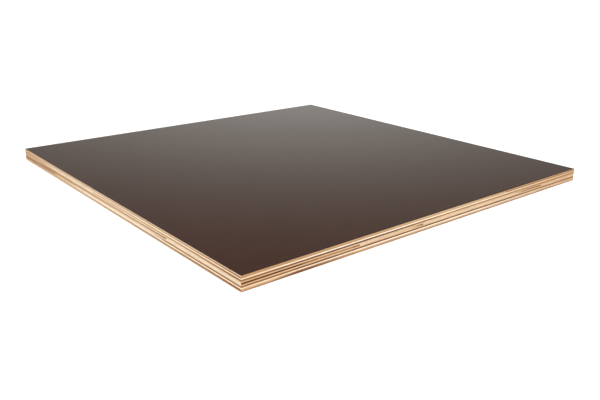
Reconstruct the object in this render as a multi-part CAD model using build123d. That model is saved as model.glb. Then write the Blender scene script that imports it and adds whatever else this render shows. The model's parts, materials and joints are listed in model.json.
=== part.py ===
from build123d import *

import os

# A square panel of film-faced plywood, lying flat: cross-banded birch veneers pressed between two
# phenolic resin films, with bare sawn edges. Lengths are in millimetres and +Z is up. +X runs along
# the grain of the face veneers, and the origin is the centre of the underside. The layers are
# numbered downwards from the upper face veneer, and places within a layer are measured from the
# panel's front left corner, where X and Y are lowest.

# The panel, as sawn from the board
panel_length = 500.0
panel_width = 500.0

# The lay-up, from either face inwards
film_thickness = 0.15
face_veneer_thickness = 0.9
core_veneer_thickness = 1.4
core_veneer_count = 9

# The pieces of one layer lie edge to edge, with a fine gap at each butt joint
joint_gap = 0.4
open_joint_gap = 1.5

# Side joints run along the grain of a cross veneer, between strips that lie side by side
side_joints = {
    2: [359.0],
    6: [82.0, 133.0, 221.0, 428.0],
    8: [57.0],
}

# End joints cross the first strip of a cross veneer, the one beside the left edge
end_joints = {
    4: (281.0, open_joint_gap),
    6: (122.0, joint_gap),
    8: (397.0, joint_gap),
}

# The saw tore some fibres out of the front edge of one cross veneer, beside the left corner
tear_out_layer = 6
tear_out_from_corner = 0.4
tear_out_width = 2.0
tear_out_depth = 2.0

# The stack of veneers
veneer_count = core_veneer_count + 2
veneer_thicknesses = [
    face_veneer_thickness,
    *[core_veneer_thickness] * core_veneer_count,
    face_veneer_thickness,
]
panel_thickness = 2 * film_thickness + sum(veneer_thicknesses)
front_left = (-panel_length / 2, -panel_width / 2)


def spans_between(joints, reach):
    """The spans that butt joints, each a place and a gap, leave on a run of this reach."""
    starts = [0.0]
    ends = []
    for place, gap in joints:
        if gap < place < reach - gap:
            ends.append(place - gap / 2)
            starts.append(place + gap / 2)
    return list(zip(starts, ends + [reach]))


def slab(bottom, thickness, footprints):
    """A flat layer with one solid for each footprint, which is a span of X and a span of Y."""
    with BuildPart() as built:
        with BuildSketch(Plane.XY.offset(bottom)):
            with Locations(front_left):
                for (left, right), (front, back) in footprints:
                    with Locations((left, front)):
                        Rectangle(right - left, back - front, align=Align.MIN)
        extrude(amount=thickness)
    return built.part


def full_sheet(bottom, thickness):
    """A layer in one piece: a film, or a veneer with no joint."""
    return slab(bottom, thickness, [((0.0, panel_length), (0.0, panel_width))])


def tear_out(bottom):
    """The fibres that the saw tore out of a layer's front edge, to be cut away."""
    start = (front_left[0] + tear_out_from_corner, front_left[1], bottom)
    fibres = Box(tear_out_width, tear_out_depth, core_veneer_thickness, align=Align.MIN)
    return Pos(*start) * fibres


def cross_veneer(layer, bottom):
    """A core veneer with its grain along Y, laid from strips."""
    joints_across = [(place, joint_gap) for place in side_joints.get(layer, [])]
    first_strip, *other_strips = spans_between(joints_across, panel_length)
    end_joint = [end_joints[layer]] if layer in end_joints else []
    footprints = [(first_strip, span) for span in spans_between(end_joint, panel_width)]
    footprints += [(strip, (0.0, panel_width)) for strip in other_strips]
    strips = slab(bottom, core_veneer_thickness, footprints)
    return strips - tear_out(bottom) if layer == tear_out_layer else strips


def veneer(layer, bottom):
    """A veneer's node name and shape. Odd layers have their grain along X, even ones along Y."""
    thickness = veneer_thicknesses[layer - 1]
    if layer in (1, veneer_count):
        return f"face_veneer_{layer:02d}", full_sheet(bottom, thickness)
    if layer % 2:
        return f"long_veneer_{layer:02d}", full_sheet(bottom, thickness)
    return f"cross_veneer_{layer:02d}", cross_veneer(layer, bottom)


def panel():
    """Every node of the panel, from the bottom film up."""
    nodes = {"bottom_film": full_sheet(0.0, film_thickness)}
    bottom = film_thickness
    for layer in range(veneer_count, 0, -1):
        name, shape = veneer(layer, bottom)
        nodes[name] = shape
        bottom += veneer_thicknesses[layer - 1]
    nodes["top_film"] = full_sheet(bottom, film_thickness)
    return nodes


os.makedirs("parts", exist_ok=True)
for node, shape in panel().items():
    export_step(shape, f"parts/{node}.step")
print(f"panel {panel_length:g} x {panel_width:g} x {panel_thickness:g} mm")
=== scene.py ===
import json
import math
import random
from collections import namedtuple

import bmesh
import bpy
from mathutils import Matrix, Vector, noise


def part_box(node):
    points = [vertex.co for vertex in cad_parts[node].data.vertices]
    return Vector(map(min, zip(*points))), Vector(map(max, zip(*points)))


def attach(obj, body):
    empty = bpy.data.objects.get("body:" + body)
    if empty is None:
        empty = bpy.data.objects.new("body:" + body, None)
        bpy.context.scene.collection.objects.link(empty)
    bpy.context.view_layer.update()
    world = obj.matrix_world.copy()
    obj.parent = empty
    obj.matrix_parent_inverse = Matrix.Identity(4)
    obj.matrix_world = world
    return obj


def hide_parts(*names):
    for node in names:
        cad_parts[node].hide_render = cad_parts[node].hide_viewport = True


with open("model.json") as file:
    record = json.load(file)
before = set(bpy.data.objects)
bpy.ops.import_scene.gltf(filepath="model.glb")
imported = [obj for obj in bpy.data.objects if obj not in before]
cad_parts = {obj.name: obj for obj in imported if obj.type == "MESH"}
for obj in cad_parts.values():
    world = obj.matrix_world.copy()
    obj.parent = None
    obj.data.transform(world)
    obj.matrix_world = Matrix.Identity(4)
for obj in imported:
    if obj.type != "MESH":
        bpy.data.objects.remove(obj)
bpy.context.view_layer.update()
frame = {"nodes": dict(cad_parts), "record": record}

# A square panel of film-faced birch plywood on a white studio floor. Lengths are in metres and +Z is
# up. Each layer keeps the outline and the place that the frame gives it. What is added here is the
# sawn and torn texture of the edges, the slight waves of the veneers, the small chips of the film,
# and every material.

MM = 0.001

# Two places closer than this count as the same
NEAR = 0.01 * MM

# The layers from the underside up, by node, and the heights of the boundaries between them
LAYERS = sorted(frame["nodes"], key=lambda name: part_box(name)[0].z)
LEVELS = [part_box(name)[0].z for name in LAYERS] + [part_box(LAYERS[-1])[1].z]
BOTTOM_FILM = LAYERS[0]
TOP_FILM = LAYERS[-1]
PANEL_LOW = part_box(BOTTOM_FILM)[0]
PANEL_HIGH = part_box(TOP_FILM)[1]


# Camera: a real lens at the photograph's viewpoint

CAMERA_PLACE = (-0.5384, -0.6682, 0.2544)
CAMERA_YAW_DEG = 38.965
CAMERA_PITCH_DEG = 19.052
CAMERA_ROLL_DEG = 0.456
CAMERA_LENS_MM = 41.65
CAMERA_SENSOR_MM = 36.0
CAMERA_SHIFT_X = 0.017
CAMERA_NEAREST = 0.01
CAMERA_FARTHEST = 100.0


def make_camera():
    """The camera looks down on the corner where the front and left edges meet."""
    data = bpy.data.cameras.new("camera")
    data.lens = CAMERA_LENS_MM
    data.sensor_width = CAMERA_SENSOR_MM
    data.shift_x = CAMERA_SHIFT_X
    data.clip_start = CAMERA_NEAREST
    data.clip_end = CAMERA_FARTHEST
    camera = bpy.data.objects.new("camera", data)
    bpy.context.scene.collection.objects.link(camera)
    turn = Matrix.Rotation(-math.radians(CAMERA_YAW_DEG), 4, "Z")
    tilt = Matrix.Rotation(math.radians(90.0 - CAMERA_PITCH_DEG), 4, "X")
    roll = Matrix.Rotation(math.radians(CAMERA_ROLL_DEG), 4, "Z")
    camera.matrix_world = Matrix.Translation(CAMERA_PLACE) @ turn @ tilt @ roll
    bpy.context.scene.camera = camera


# Shader helpers


def add_node(tree, kind, inputs=(), **settings):
    """Adds a shader node. Inputs are pairs of a socket's name or number and a value or a link."""
    made = tree.nodes.new(kind)
    for key, value in settings.items():
        setattr(made, key, value)
    for key, value in inputs:
        if isinstance(value, bpy.types.NodeSocket):
            tree.links.new(value, made.inputs[key])
        else:
            made.inputs[key].default_value = value
    return made


def math_of(tree, operation, *values):
    """The result of one math node."""
    return add_node(tree, "ShaderNodeMath", list(enumerate(values)), operation=operation).outputs[0]


def mix_colours(tree, factor, first, second, blend="MIX"):
    """The colour between two others, by a factor from 0 to 1."""
    inputs = [("Factor", factor), (6, first), (7, second)]
    made = add_node(tree, "ShaderNodeMix", inputs, data_type="RGBA", blend_type=blend)
    return made.outputs[2]


def mix_values(tree, factor, first, second):
    """The number between two others, by a factor from 0 to 1."""
    made = add_node(tree, "ShaderNodeMix", [(0, factor), (2, first), (3, second)], data_type="FLOAT")
    return made.outputs[0]


def map_range(tree, value, low, high, to_low=0.0, to_high=1.0):
    """A number carried from one range to another, and held within it."""
    inputs = [(0, value), (1, low), (2, high), (3, to_low), (4, to_high)]
    return add_node(tree, "ShaderNodeMapRange", inputs, clamp=True).outputs[0]


def vector_math(tree, operation, first, second):
    """The result of one vector math node."""
    return add_node(tree, "ShaderNodeVectorMath", [(0, first), (1, second)], operation=operation)


def noise_of(tree, place, scales, detail=2.0, roughness=0.5):
    """Noise from 0 to 1, with that many features for each metre along each axis."""
    inputs = [
        ("Vector", vector_math(tree, "MULTIPLY", place, scales).outputs[0]),
        ("Scale", 1.0),
        ("Detail", detail),
        ("Roughness", roughness),
    ]
    return add_node(tree, "ShaderNodeTexNoise", inputs).outputs["Fac"]


def colour_ramp(tree, factor, stops):
    """A colour along a line, from stops that each give a place from 0 to 1 and a colour."""
    made = add_node(tree, "ShaderNodeValToRGB", [("Fac", factor)])
    elements = made.color_ramp.elements
    while len(elements) > 1:
        elements.remove(elements[-1])
    first_place, first_colour = stops[0]
    elements[0].position = first_place
    elements[0].color = (*first_colour, 1.0)
    for place, colour in stops[1:]:
        elements.new(place).color = (*colour, 1.0)
    return made.outputs["Color"]


def new_material(name):
    """A material with an empty node tree and its principled shader."""
    material = bpy.data.materials.new(name)
    material.use_nodes = True
    tree = material.node_tree
    tree.nodes.clear()
    shader = add_node(tree, "ShaderNodeBsdfPrincipled")
    add_node(tree, "ShaderNodeOutputMaterial", [("Surface", shader.outputs["BSDF"])])
    return material, tree, shader


# Studio: a pale floor, even light from all round and one broad lamp

FLOOR_SIZE = 60.0
FLOOR_DROP = 0.1 * MM
FLOOR_ALBEDO = 0.80
FLOOR_FILL = 0.36
SKY_LIGHT = 1.0
KEY_LIGHT_WATTS = 36.0
KEY_LIGHT_SIZE = 2.0
KEY_LIGHT_DISTANCE = 2.5
KEY_LIGHT_HEIGHT = 1.0


def make_floor():
    """A pale floor that stays white to the camera and keeps the panel's soft shadow."""
    bpy.ops.mesh.primitive_plane_add(size=FLOOR_SIZE, location=(0.0, 0.0, PANEL_LOW.z - FLOOR_DROP))
    floor = bpy.context.active_object
    floor.name = "floor"
    material = bpy.data.materials.new("floor")
    material.use_nodes = True
    tree = material.node_tree
    tree.nodes.clear()
    paint = add_node(tree, "ShaderNodeBsdfDiffuse", [("Color", (FLOOR_ALBEDO,) * 3 + (1.0,))])
    rays = add_node(tree, "ShaderNodeLightPath").outputs
    seen = math_of(tree, "MAXIMUM", rays["Is Camera Ray"], rays["Is Glossy Ray"])
    seen = math_of(tree, "MAXIMUM", seen, rays["Is Transmission Ray"])
    strength = math_of(tree, "MULTIPLY", seen, FLOOR_FILL)
    fill = add_node(tree, "ShaderNodeEmission", [("Strength", strength)])
    both = add_node(tree, "ShaderNodeAddShader", [(0, paint.outputs[0]), (1, fill.outputs[0])])
    add_node(tree, "ShaderNodeOutputMaterial", [("Surface", both.outputs[0])])
    floor.data.materials.append(material)


# What a glossy surface sees of the studio: a nearly white backdrop straight ahead, fading to a dark
# ceiling above and to dimmer walls at either side. Each stop of the first list is a height above the
# horizon, as a sine, and a brightness. Each stop of the second is the cosine of the turn away from
# the middle of the backdrop, and the share of that brightness.
BACKDROP_TINT = (0.97, 1.0, 0.95)
REFLECTED_HEIGHTS = [
    (0.0, 0.96),
    (0.17, 0.96),
    (0.21, 0.79),
    (0.25, 0.50),
    (0.30, 0.29),
    (0.36, 0.13),
    (0.42, 0.02),
    (1.0, 0.01),
]
REFLECTED_TURNS = [(0.0, 0.30), (0.80, 0.33), (0.93, 0.55), (0.97, 0.77), (1.0, 1.0)]


def make_world():
    """White to the camera, even light for matt surfaces, and a graded backdrop in reflections."""
    world = bpy.data.worlds.new("studio")
    bpy.context.scene.world = world
    world.use_nodes = True
    tree = world.node_tree
    tree.nodes.clear()
    rays = add_node(tree, "ShaderNodeLightPath").outputs
    direction = add_node(tree, "ShaderNodeTexCoord").outputs["Generated"]
    height = add_node(tree, "ShaderNodeSeparateXYZ", [(0, direction)]).outputs["Z"]
    yaw = math.radians(CAMERA_YAW_DEG)
    facing = vector_math(tree, "DOT_PRODUCT", direction, (math.sin(yaw), math.cos(yaw), 0.0))
    level_squared = math_of(tree, "SUBTRACT", 1.0, math_of(tree, "POWER", height, 2.0))
    turn = math_of(tree, "DIVIDE", facing.outputs["Value"], math_of(tree, "SQRT", level_squared))
    heights = [(place, [level * part for part in BACKDROP_TINT]) for place, level in REFLECTED_HEIGHTS]
    turns = [(place, [share] * 3) for place, share in REFLECTED_TURNS]
    by_height = colour_ramp(tree, height, heights)
    by_turn = colour_ramp(tree, turn, turns)
    graded = mix_colours(tree, 1.0, by_height, by_turn, blend="MULTIPLY")
    even = mix_colours(tree, rays["Is Glossy Ray"], (SKY_LIGHT,) * 3 + (1.0,), graded)
    seen = math_of(tree, "MAXIMUM", rays["Is Camera Ray"], rays["Is Transmission Ray"])
    colour = mix_colours(tree, seen, even, (1.0, 1.0, 1.0, 1.0))
    light = add_node(tree, "ShaderNodeBackground", [("Color", colour), ("Strength", 1.0)])
    add_node(tree, "ShaderNodeOutputWorld", [("Surface", light.outputs[0])])


def make_key_light():
    """One broad soft lamp behind the camera, for the two edges that meet at the near corner.

    The film doesn't mirror it, because a low view from the far side would show only its glare.
    """
    data = bpy.data.lights.new("key_light", "AREA")
    data.energy = KEY_LIGHT_WATTS
    data.size = KEY_LIGHT_SIZE
    lamp = bpy.data.objects.new("key_light", data)
    bpy.context.scene.collection.objects.link(lamp)
    yaw = math.radians(CAMERA_YAW_DEG)
    behind = -KEY_LIGHT_DISTANCE
    lamp.location = (math.sin(yaw) * behind, math.cos(yaw) * behind, KEY_LIGHT_HEIGHT)
    lamp.rotation_euler = lamp.location.to_track_quat("Z", "Y").to_euler()
    lamp.visible_glossy = False


# Film: brown phenolic resin film, satin, with a faint cloudiness, a scuffed rougher rim and painted
# shade along that rim

FILM_BROWN = (0.048, 0.0180, 0.0100)
FILM_BROWN_LIGHT = (0.056, 0.0230, 0.0135)
FILM_ROUGHNESS = (0.20, 0.23)
RIM_WIDTH = 1.3 * MM
# Painted shade: the film's colour is multiplied by this at its rim
RIM_PAINTED_SHADE = 0.6
RIM_ROUGHNESS = 0.42

# The film's textures: features for each metre along each axis, and how they are mixed
CLOUD_SCALES = (40.0, 55.0, 40.0)
PAPER_SCALES = (900.0, 1300.0, 900.0)
PRESS_SCALES = (260.0, 220.0, 260.0)
PAPER_PART = 0.45
MOTTLE_RANGE = (0.35, 0.65)
PRESS_STRENGTH = 0.25
PRESS_DEPTH = 0.04 * MM
FILM_IOR = 1.5


def film_material():
    """The pressed resin film."""
    material, tree, shader = new_material("phenolic_film")
    place = add_node(tree, "ShaderNodeTexCoord").outputs["Object"]
    cloud = noise_of(tree, place, CLOUD_SCALES, detail=4.0, roughness=0.6)
    paper = noise_of(tree, place, PAPER_SCALES, detail=3.0, roughness=0.6)
    mottle = map_range(tree, mix_values(tree, PAPER_PART, cloud, paper), *MOTTLE_RANGE)
    colour = mix_colours(tree, mottle, (*FILM_BROWN, 1.0), (*FILM_BROWN_LIGHT, 1.0))
    roughness = map_range(tree, mottle, 0.0, 1.0, *FILM_ROUGHNESS)

    # The saw leaves the film's rim a little rougher; its colour there is painted darker, as painted
    # shade for the dimmer reflection along the sawn edge
    xyz = add_node(tree, "ShaderNodeSeparateXYZ", [(0, place)]).outputs
    across = math_of(tree, "ABSOLUTE", xyz["X"])
    along = math_of(tree, "ABSOLUTE", xyz["Y"])
    from_middle = math_of(tree, "MAXIMUM", across, along)
    rim = map_range(tree, from_middle, PANEL_HIGH.x - RIM_WIDTH, PANEL_HIGH.x - RIM_WIDTH / 2)
    shade = mix_values(tree, rim, 1.0, RIM_PAINTED_SHADE)
    shades = add_node(tree, "ShaderNodeCombineColor", [(0, shade), (1, shade), (2, shade)])
    colour = mix_colours(tree, 1.0, colour, shades.outputs[0], blend="MULTIPLY")
    roughness = mix_values(tree, rim, roughness, RIM_ROUGHNESS)

    press = noise_of(tree, place, PRESS_SCALES)
    bump_inputs = [("Strength", PRESS_STRENGTH), ("Distance", PRESS_DEPTH), ("Height", press)]
    bump = add_node(tree, "ShaderNodeBump", bump_inputs)
    shader.inputs["IOR"].default_value = FILM_IOR
    tree.links.new(colour, shader.inputs["Base Color"])
    tree.links.new(roughness, shader.inputs["Roughness"])
    tree.links.new(bump.outputs["Normal"], shader.inputs["Normal"])
    return material


# Birch: the tones of its sapwood and heartwood, from pale to dark

TONES = {
    "pale": (0.90, 0.78, 0.62),
    "ivory": (0.82, 0.68, 0.50),
    "cream": (0.75, 0.57, 0.39),
    "honey": (0.66, 0.46, 0.28),
    "wheat": (0.56, 0.345, 0.175),
    "tan": (0.45, 0.245, 0.108),
    "fawn": (0.36, 0.175, 0.070),
    "rust": (0.38, 0.160, 0.055),
    "brown": (0.27, 0.110, 0.034),
    "umber": (0.18, 0.060, 0.015),
    "heart": (0.100, 0.021, 0.004),
}

# The glue line starts and is full at these distances from the middle of a veneer, as shares of its
# thickness
GLUE_BROWN = (0.17, 0.062, 0.018)
GLUE_STRENGTH = 0.7
GLUE_FROM = 0.44
GLUE_FULL = 0.49

# The tones of each piece of veneer, in the order of the pieces from left to right and from front to
# back. "front" runs along the front and back edges, and "side" along the left and right ones. A run
# has only the stops that its main features need, such as the ends of a stretch of dark heartwood.
# Each stop is a distance in millimetres from the piece's own front left corner, and a tone. A piece
# without a front run takes that of the veneer's first piece, and one without a side run has the last
# tone of its front run all along its sides.
VENEER_TONES = {
    "face_veneer_01": [
        {
            "front": [(0, "tan"), (270, "honey"), (365, "wheat")],
            "side": [(0, "cream"), (290, "cream"), (500, "honey")],
        },
    ],
    "cross_veneer_02": [
        {
            "front": [(0, "tan"), (120, "tan"), (300, "wheat")],
            "side": [(0, "brown"), (70, "tan"), (500, "wheat")],
        },
        {"front": [(0, "rust")]},
    ],
    "long_veneer_03": [
        {
            "front": [(0, "cream"), (110, "pale"), (350, "ivory"), (500, "honey")],
            "side": [(0, "cream"), (120, "pale"), (340, "ivory"), (500, "honey")],
        },
    ],
    "cross_veneer_04": [
        {
            "front": [(0, "brown"), (137, "heart"), (175, "heart"), (250, "fawn")],
            "side": [(0, "umber"), (110, "tan"), (281, "wheat")],
        },
        {"side": [(0, "cream"), (120, "cream"), (172, "fawn")]},
    ],
    "long_veneer_05": [
        {
            "front": [(0, "wheat"), (110, "honey"), (320, "honey"), (430, "wheat")],
            "side": [(0, "honey"), (200, "ivory"), (350, "ivory"), (500, "honey")],
        },
    ],
    "cross_veneer_06": [
        {"front": [(0, "heart"), (62, "heart"), (70, "brown")], "side": [(0, "ivory")]},
        {"front": [(0, "brown")], "side": [(0, "brown"), (90, "tan"), (300, "fawn"), (345, "wheat")]},
        {"front": [(0, "fawn"), (38, "fawn"), (51, "umber")]},
        {"front": [(0, "cream"), (70, "honey"), (88, "umber")]},
        {"front": [(0, "cream"), (155, "cream"), (172, "fawn"), (207, "brown")]},
        {"front": [(0, "honey")]},
    ],
    "long_veneer_07": [
        {
            "front": [(0, "wheat"), (110, "honey")],
            "side": [(0, "cream"), (130, "cream"), (370, "wheat")],
        },
    ],
    "cross_veneer_08": [
        {
            "front": [(0, "brown")],
            "side": [(0, "brown"), (120, "brown"), (150, "ivory"), (330, "ivory"), (345, "honey")],
        },
        {"front": [(0, "brown")], "side": [(0, "brown")]},
        {"front": [(0, "umber"), (310, "umber"), (343, "brown")]},
    ],
    "long_veneer_09": [
        {
            "front": [(0, "cream"), (180, "pale"), (290, "pale"), (500, "wheat")],
            "side": [(0, "ivory"), (120, "pale"), (290, "pale"), (500, "tan")],
        },
    ],
    "cross_veneer_10": [
        {
            "front": [(0, "wheat"), (30, "wheat"), (62, "umber"), (135, "wheat"), (350, "honey")],
            "side": [(0, "brown"), (110, "tan"), (310, "wheat")],
        },
    ],
    "face_veneer_11": [
        {
            "front": [(0, "tan"), (60, "umber"), (130, "tan"), (300, "fawn")],
            "side": [(0, "tan"), (230, "honey")],
        },
    ],
}


def tone_at(stops, distance):
    """The colour at a distance along a piece, between the stops on either side of it."""
    start, first = stops[0]
    for end, last in stops:
        if distance <= end * MM:
            share = (distance / MM - start) / (end - start) if end > start else 1.0
            return Vector(TONES[first]).lerp(Vector(TONES[last]), max(share, 0.0))
        start, first = end, last
    return Vector(TONES[first])


def stops_of(node, number, looks_sideways):
    """The stops of one piece of a veneer, on the edges that look to the front or to a side."""
    tones = VENEER_TONES[node][number]
    front = tones.get("front", VENEER_TONES[node][0]["front"])
    if not looks_sideways:
        return front
    last_tone = front[-1][1]
    return tones.get("side", [(0, last_tone)])


# The wood's textures: features for each metre along each axis, and how far each texture changes the
# brightness. Noise below TEXTURE_RANGE counts as its low end, and noise above it as its high end.
DRIFT_SCALES = (55.0, 55.0, 300.0)
RING_SCALES = (130.0, 130.0, 2600.0)
LONG_FIBRE_SCALES = (260.0, 260.0, 9000.0)
END_FIBRE_SCALES = (2600.0, 2600.0, 3400.0)
DRIFT_SHARE = 0.10
RING_SHARE = 0.10
FIBRE_SHARE = 0.14
TEXTURE_RANGE = (0.3, 0.7)
WOOD_ROUGHNESS = (0.78, 0.66)
WOOD_SPECULAR = 0.25
FIBRE_BUMP_STRENGTH = 0.5
FIBRE_BUMP_DEPTH = 0.08 * MM

# A wall looks to the left or right where its normal is at least this far along X
LOOKS_SIDEWAYS_FROM = 0.7


def birch_material(name, grain_along_y):
    """Sawn birch veneer: end grain on the edges that cross its fibres, long grain on the others."""
    material, tree, shader = new_material(name)
    seed = add_node(tree, "ShaderNodeAttribute", attribute_name="veneer_seed").outputs["Vector"]
    place = add_node(tree, "ShaderNodeTexCoord").outputs["Object"]
    place = vector_math(tree, "ADD", place, seed).outputs[0]
    normal = add_node(tree, "ShaderNodeNewGeometry").outputs["True Normal"]
    facing = add_node(tree, "ShaderNodeSeparateXYZ", [(0, normal)]).outputs
    sideways = math_of(tree, "ABSOLUTE", facing["X"])
    on_side = math_of(tree, "GREATER_THAN", sideways, LOOKS_SIDEWAYS_FROM)

    # Slow changes of tone along the edge, then growth rings, then fine fibre
    drift = noise_of(tree, place, DRIFT_SCALES, detail=3.0, roughness=0.6)
    rings = noise_of(tree, place, RING_SCALES, roughness=0.6)
    long_fibre = noise_of(tree, place, LONG_FIBRE_SCALES, roughness=0.6)
    end_fibre = noise_of(tree, place, END_FIBRE_SCALES, roughness=0.7)
    if grain_along_y:
        fibre = mix_values(tree, on_side, end_fibre, long_fibre)
    else:
        fibre = mix_values(tree, on_side, long_fibre, end_fibre)
    level = 1.0
    for texture, share in ((drift, DRIFT_SHARE), (rings, RING_SHARE), (fibre, FIBRE_SHARE)):
        change = map_range(tree, texture, *TEXTURE_RANGE, -share, share)
        level = math_of(tree, "ADD", level, change)
    shade = add_node(tree, "ShaderNodeCombineColor", [(0, level), (1, level), (2, level)])
    tone = add_node(tree, "ShaderNodeAttribute", attribute_name="veneer_tone").outputs["Color"]
    colour = mix_colours(tree, 1.0, tone, shade.outputs[0], blend="MULTIPLY")

    # A dark glue line where the veneer meets its neighbours
    height = add_node(tree, "ShaderNodeAttribute", attribute_name="height_in_layer").outputs["Fac"]
    from_middle = math_of(tree, "ABSOLUTE", math_of(tree, "SUBTRACT", height, 0.5))
    glue = map_range(tree, from_middle, GLUE_FROM, GLUE_FULL, 0.0, GLUE_STRENGTH)
    colour = mix_colours(tree, glue, colour, (*GLUE_BROWN, 1.0))

    bump_inputs = [("Strength", FIBRE_BUMP_STRENGTH), ("Distance", FIBRE_BUMP_DEPTH), ("Height", fibre)]
    bump = add_node(tree, "ShaderNodeBump", bump_inputs)
    roughness = map_range(tree, fibre, *TEXTURE_RANGE, *WOOD_ROUGHNESS)
    shader.inputs["Specular IOR Level"].default_value = WOOD_SPECULAR
    tree.links.new(colour, shader.inputs["Base Color"])
    tree.links.new(roughness, shader.inputs["Roughness"])
    tree.links.new(bump.outputs["Normal"], shader.inputs["Normal"])
    return material


# Layer outlines: a point has its place, the way out of the panel, the way that the wall after it
# looks, and whether it is on a torn wall

EdgePoint = namedtuple("EdgePoint", "x y way side torn")
INSIDE = (0, 0)

# How far apart the points are on a film's edge, on a veneer's edge and on a torn wall. A wall inside
# the panel counts as torn where it is shorter than TORN_WALL_LENGTH.
FILM_STEP = 0.5 * MM
VENEER_STEP = 1.25 * MM
TORN_STEP = 0.35 * MM
TORN_WALL_LENGTH = 5.0 * MM

# In a CAD mesh, vertices this close are one, and a face is a top or a bottom where its normal has at
# least this much of Z
SAME_POINT = 0.001 * MM
LEVEL_FACE_FROM = 0.5


def node_outlines(node):
    """The outline of each solid of a CAD node, anticlockwise seen from above.

    They are sorted from left to right, and from front to back where that is equal.
    """
    copy = bmesh.new()
    copy.from_mesh(frame["nodes"][node].data)
    bmesh.ops.remove_doubles(copy, verts=copy.verts, dist=SAME_POINT)
    copy.normal_update()
    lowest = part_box(node)[0].z + NEAR
    following = {}
    for face in copy.faces:
        if abs(face.normal.z) > LEVEL_FACE_FROM:
            continue
        for loop in face.loops:
            start, end = loop.vert, loop.link_loop_next.vert
            if start.co.z < lowest and end.co.z < lowest:
                following[start] = end
    outlines = []
    while following:
        start, vertex = following.popitem()
        outline = [start]
        while vertex is not start:
            outline.append(vertex)
            vertex = following.pop(vertex)
        outlines.append([(vertex.co.x, vertex.co.y) for vertex in outline])
    copy.free()
    return sorted(outlines, key=low_corner)


def low_corner(outline):
    """The lowest X and the lowest Y of an outline."""
    return min(x for x, y in outline), min(y for x, y in outline)


def way_out(start, end):
    """The way out of the panel from a wall that lies on one of its edges."""
    for axis in (0, 1):
        for place, sign in ((PANEL_LOW[axis], -1), (PANEL_HIGH[axis], 1)):
            if abs(start[axis] - place) < NEAR and abs(end[axis] - place) < NEAR:
                return (sign, 0) if axis == 0 else (0, sign)
    return INSIDE


def edge_points(outline, step):
    """Points round an outline, close together on the panel's edges and on torn walls."""
    walls = list(zip(outline, outline[1:] + outline[:1]))
    sides = [way_out(*wall) for wall in walls]
    points = []
    for number, (start, end) in enumerate(walls):
        side = sides[number]
        length = math.dist(start, end)
        torn = side == INSIDE and length < TORN_WALL_LENGTH
        spacing = length if side == INSIDE else step
        if torn:
            spacing = TORN_STEP
        count = math.ceil(length / spacing)
        before = sides[number - 1]
        corner_way = side if side == before else (side[0] + before[0], side[1] + before[1])
        for index in range(count):
            share = index / count
            x = start[0] + (end[0] - start[0]) * share
            y = start[1] + (end[1] - start[1]) * share
            way = corner_way if index == 0 else side
            points.append(EdgePoint(x, y, way, side, torn and way == INSIDE))
    return points


# Sawn edges: waves of the boundaries and the relief that the saw leaves

# The boundaries between the layers wave by a share of the thinner layer beside them, in a long wave
# and a short one. Each boundary has its own two seeds, worked out from these.
WAVE_SHARE = 0.07
LONG_WAVE = 38 * MM
LONG_WAVE_PART = 0.75
LONG_WAVE_SEED = 11.3
SHORT_WAVE = 9 * MM
SHORT_WAVE_PART = 0.45
SHORT_WAVE_SEED = 7.7
SHORT_WAVE_FIRST_SEED = 50

# The saw's marks lean by this share of their height. They are the sweep of the blade and, finer, the
# marks of its teeth.
SAW_LEAN = 0.35
SWEEP_WAVE = 6.5 * MM
SWEEP_DEPTH = 0.012 * MM
SWEEP_SEED = 3.1
TOOTH_WAVE = 2.1 * MM
TOOTH_DEPTH = 0.010 * MM
TOOTH_SEED = 8.4

# End grain that the saw leaves low, and the ragged wall of the torn-out place. TORN_Y_SEED is how far
# from the noise that moves a torn wall along X the noise that moves it along Y is read.
FIBRE_WAVE = 0.9 * MM
FIBRE_DEPTH = 0.018 * MM
TORN_WAVE = 0.6 * MM
TORN_DEPTH = 0.3 * MM
TORN_Y_SEED = Vector((31.4, 27.1, 16.2))

# Chips of the film: how many each edge of the panel has, and the least and most of their half widths
# and depths in millimetres
CHIP_SEED = 15
CHIPS_PER_EDGE = 34
CHIP_HALF_WIDTHS = (0.5, 2.2)
CHIP_DEPTHS = (0.05, 0.28)


def soft_noise(x, y, wavelength, seed):
    """Noise from about -1 to 1 at a place on the panel, the same each time."""
    return noise.noise(Vector((x / wavelength, y / wavelength, seed)))


def wavy_height(level, x, y):
    """The height of a boundary between two layers at the panel's edge. Level 0 is the underside."""
    if level in (0, len(LAYERS)):
        return LEVELS[level]
    thinner = min(LEVELS[level] - LEVELS[level - 1], LEVELS[level + 1] - LEVELS[level])
    long_seed = LONG_WAVE_SEED * level
    short_seed = SHORT_WAVE_SEED * level + SHORT_WAVE_FIRST_SEED
    wave = LONG_WAVE_PART * soft_noise(x, y, LONG_WAVE, long_seed)
    wave += SHORT_WAVE_PART * soft_noise(x, y, SHORT_WAVE, short_seed)
    return LEVELS[level] + thinner * WAVE_SHARE * wave


def saw_recess(x, y, z):
    """How far the saw left the edge short of its nominal place."""
    lean = z * SAW_LEAN
    sweep = 1 + soft_noise(x + lean, y + lean, SWEEP_WAVE, SWEEP_SEED)
    tooth = 1 + soft_noise(x + lean, y + lean, TOOTH_WAVE, TOOTH_SEED)
    return SWEEP_DEPTH * sweep + TOOTH_DEPTH * tooth


def fibre_recess(place):
    """How far the softer end grain lies below the rest of the sawn edge."""
    return FIBRE_DEPTH * (1 + noise.noise(place / FIBRE_WAVE))


def torn_offset(place):
    """How far a point of a torn wall lies from the wall, the same each time."""
    x_part = noise.noise(place / TORN_WAVE)
    y_part = noise.noise(place / TORN_WAVE + TORN_Y_SEED)
    return Vector((x_part, y_part, 0.0)) * TORN_DEPTH


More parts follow.
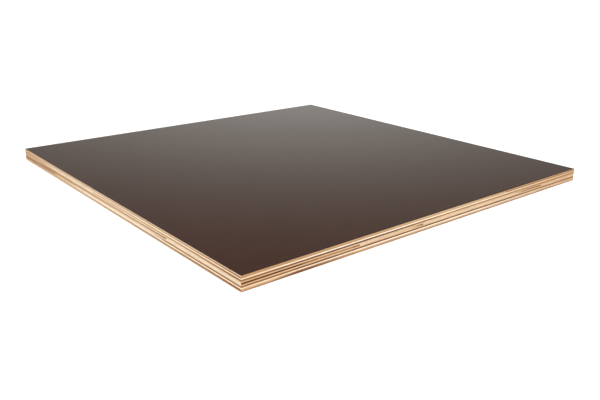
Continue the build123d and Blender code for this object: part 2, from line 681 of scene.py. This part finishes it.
def film_chips():
    """Small chips along the panel's edges: a way out, an axis, a place, a half width and a depth."""
    draw = random.Random(CHIP_SEED)
    half = PANEL_HIGH.x
    chips = []
    for way, axis in (((0, -1), 0), ((0, 1), 0), ((-1, 0), 1), ((1, 0), 1)):
        for _ in range(CHIPS_PER_EDGE):
            along = draw.uniform(-half, half)
            half_width = draw.uniform(*CHIP_HALF_WIDTHS) * MM
            depth = draw.uniform(*CHIP_DEPTHS) * MM
            chips.append((way, axis, along, half_width, depth))
    return chips


def chip_recess(chips, point):
    """The depth of the film's chips at a point of its edge."""
    deepest = 0.0
    for way, axis, along, half_width, depth in chips:
        if way[0] * point.way[0] + way[1] * point.way[1] <= 0:
            continue
        distance = abs(point[axis] - along)
        if distance < half_width:
            deepest = max(deepest, depth * (1 - (distance / half_width) ** 2))
    return deepest


# Layer shapes

# A veneer's wall has this many rows of faces. Where two layers meet, the boundary is flat up to
# INNER_RING from the panel's edge, and rises and falls with its waves outside that.
VENEER_ROWS = 4
INNER_RING = 3.0 * MM
SHARP_ANGLE_DEG = 35.0

# A film's outer edge is eased over this share of its thickness
ARRIS_SHARE = 0.33

# How far apart two layers, and two pieces of one layer, lie in the noise that textures them
LAYER_SEED = Vector((7.3, 3.9, 1.7))
PIECE_SEED = Vector((0.61, 0.37, 0.83))


def ring_at(node, points, share, chips):
    """An outline at a share of the layer's height, with the relief of the sawn edge."""
    layer = LAYERS.index(node)
    ring = []
    for point in points:
        bottom = wavy_height(layer, point.x, point.y)
        top = wavy_height(layer + 1, point.x, point.y)
        place = Vector((point.x, point.y, bottom + (top - bottom) * share))
        if point.torn:
            ring.append(place + torn_offset(place))
            continue
        depth = saw_recess(*place)
        if node in (BOTTOM_FILM, TOP_FILM):
            depth += chip_recess(chips, point)
        elif point.way[1 if node.startswith("cross") else 0]:
            depth += fibre_recess(place)
        ring.append(place - Vector((*point.way, 0.0)) * depth)
    return ring


def inner_ring(points, z, inset):
    """The points on a smaller outline at one height, moved in only from the panel's own edges."""
    low = Vector((min(point.x for point in points), min(point.y for point in points)))
    high = Vector((max(point.x for point in points), max(point.y for point in points)))
    ring = []
    for point in points:
        place = [point.x, point.y, z]
        for axis in (0, 1):
            low_inset = inset if low[axis] < PANEL_LOW[axis] + NEAR else 0.0
            high_inset = inset if high[axis] > PANEL_HIGH[axis] - NEAR else 0.0
            share = (place[axis] - low[axis]) / (high[axis] - low[axis])
            room = high[axis] - low[axis] - low_inset - high_inset
            place[axis] = low[axis] + low_inset + share * room
        ring.append(place)
    return ring


def wall_tones(node, number, points):
    """The tones at the two ends of each short wall round a piece of veneer."""
    low = low_corner([(point.x, point.y) for point in points])
    tones = []
    for point, after in zip(points, points[1:] + points[:1]):
        looks_sideways = point.side[0] != 0
        axis = 1 if looks_sideways else 0
        stops = stops_of(node, number, looks_sideways)
        tones.append([(*tone_at(stops, end[axis] - low[axis]), 1.0) for end in (point, after)])
    return tones


def add_piece(mesh, node, number, points, chips):
    """Adds one piece of a layer to a mesh, as a closed shell of rings stacked upwards."""
    height_layer = mesh.verts.layers.float["height_in_layer"]
    seed_layer = mesh.verts.layers.float_vector["veneer_seed"]
    tone_layer = mesh.loops.layers.float_color["veneer_tone"]
    layer = LAYERS.index(node)
    arris = ARRIS_SHARE * (LEVELS[layer + 1] - LEVELS[layer])
    bottom_inset = arris if node == BOTTOM_FILM else INNER_RING
    top_inset = arris if node == TOP_FILM else INNER_RING
    shares = [row / VENEER_ROWS for row in range(VENEER_ROWS + 1)]
    if node == BOTTOM_FILM:
        shares = [ARRIS_SHARE, 1.0]
    if node == TOP_FILM:
        shares = [0.0, 1.0 - ARRIS_SHARE]
    rings = [inner_ring(points, LEVELS[layer], bottom_inset)]
    rings += [ring_at(node, points, share, chips) for share in shares]
    rings.append(inner_ring(points, LEVELS[layer + 1], top_inset))
    seed = LAYER_SEED * layer + PIECE_SEED * number
    rows = []
    for ring, share in zip(rings, [0.0, *shares, 1.0]):
        row = [mesh.verts.new(place) for place in ring]
        for vertex in row:
            vertex[height_layer] = share
            vertex[seed_layer] = seed
        rows.append(row)
    mesh.faces.new(list(reversed(rows[0])))
    mesh.faces.new(rows[-1])
    tones = [] if node in (BOTTOM_FILM, TOP_FILM) else wall_tones(node, number, points)
    for lower, upper in zip(rows, rows[1:]):
        for index in range(len(points)):
            after = (index + 1) % len(points)
            face = mesh.faces.new((lower[index], lower[after], upper[after], upper[index]))
            face.smooth = True
            if tones:
                start, end = tones[index]
                for loop, tone in zip(face.loops, (start, end, end, start)):
                    loop[tone_layer] = tone


def make_layer(node, material, chips):
    """The sawn layer that stands for a CAD node."""
    mesh = bmesh.new()
    mesh.verts.layers.float.new("height_in_layer")
    mesh.verts.layers.float_vector.new("veneer_seed")
    mesh.loops.layers.float_color.new("veneer_tone")
    step = FILM_STEP if node in (BOTTOM_FILM, TOP_FILM) else VENEER_STEP
    for number, outline in enumerate(node_outlines(node)):
        add_piece(mesh, node, number, edge_points(outline, step), chips)
    for edge in mesh.edges:
        if edge.calc_face_angle(0.0) > math.radians(SHARP_ANGLE_DEG):
            edge.smooth = False
    made = bpy.data.meshes.new(node + "_sawn")
    mesh.to_mesh(made)
    mesh.free()
    made.materials.append(material)
    piece = bpy.data.objects.new(node + "_sawn", made)
    bpy.context.scene.collection.objects.link(piece)
    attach(piece, "root")
    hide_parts(node)
    return piece


def make_panel():
    """Every layer of the panel, with its material."""
    slots = {entry["node"]: entry["material_slot"] for entry in frame["record"]["subparts"]}
    materials = {
        "phenolic_film": film_material(),
        "birch_long_grain": birch_material("birch_long_grain", grain_along_y=False),
        "birch_cross_grain": birch_material("birch_cross_grain", grain_along_y=True),
    }
    chips = film_chips()
    for node in LAYERS:
        piece = make_layer(node, materials[slots[node]], chips)


make_camera()
make_world()
make_key_light()
make_floor()
make_panel()

bpy.context.scene.view_settings.view_transform = "Standard"
